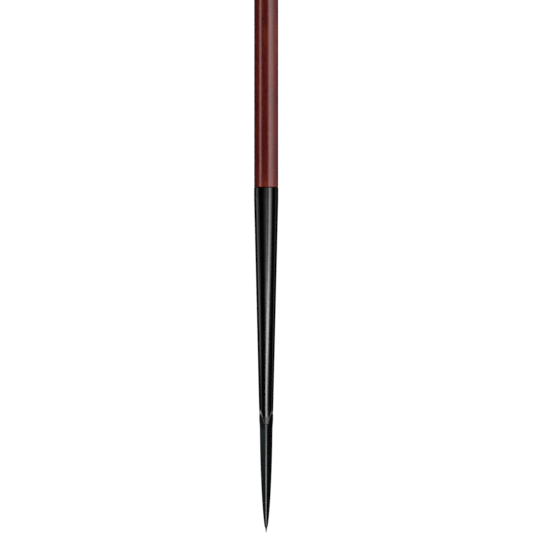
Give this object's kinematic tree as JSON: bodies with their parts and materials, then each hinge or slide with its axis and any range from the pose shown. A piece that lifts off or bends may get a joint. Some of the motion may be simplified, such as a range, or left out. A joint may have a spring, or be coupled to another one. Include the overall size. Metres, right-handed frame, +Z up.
{
  "type": "calligraphy brush",
  "caption": "Slim calligraphy brush: round wooden handle, long tapered black ferrule with a scalloped mouth, pointed hair tuft dressed to flats, tail cap with a hanging eye.",
  "frame": {"origin": "the writing point of the tuft, on the axis of the brush", "axes": "+Z up the handle towards the tail cap; one narrow ridge of the tuft faces -Y; the tuft bends about Y"},
  "size_m": [0.0081, 0.008, 0.265],
  "materials": {
    "handle_wood": "glossy lacquer over dark red-brown wood",
    "ferrule_black": "polished black",
    "cap_black": "polished black",
    "rosin": "amber rosin",
    "core_hair": "straight dark hair",
    "coat_hair": "black hair, gummed and dressed to a gloss",
    "thread": "waxed twisted thread"
  },
  "bodies": {
    "brush": {"handle": "handle_wood", "ferrule": "ferrule_black", "tail_cap": "cap_black", "rosin_plug": "rosin", "core_hair_root": "core_hair", "core_binding_thread": "thread", "coat_hair_root": "coat_hair", "coat_binding_thread": "thread"},
    "tuft": {"core_hair_point": "core_hair", "coat_hair_point": "coat_hair"}
  },
  "joints": [
    {"name": "tuft_bend", "type": "hinge", "parent": "brush", "child": "tuft", "pos_m": [0, 0, 0.0328], "axis": [0, 1, 0], "range_deg": [-40, 40], "stiffness_Nm_per_rad": 0.006}
  ]
}
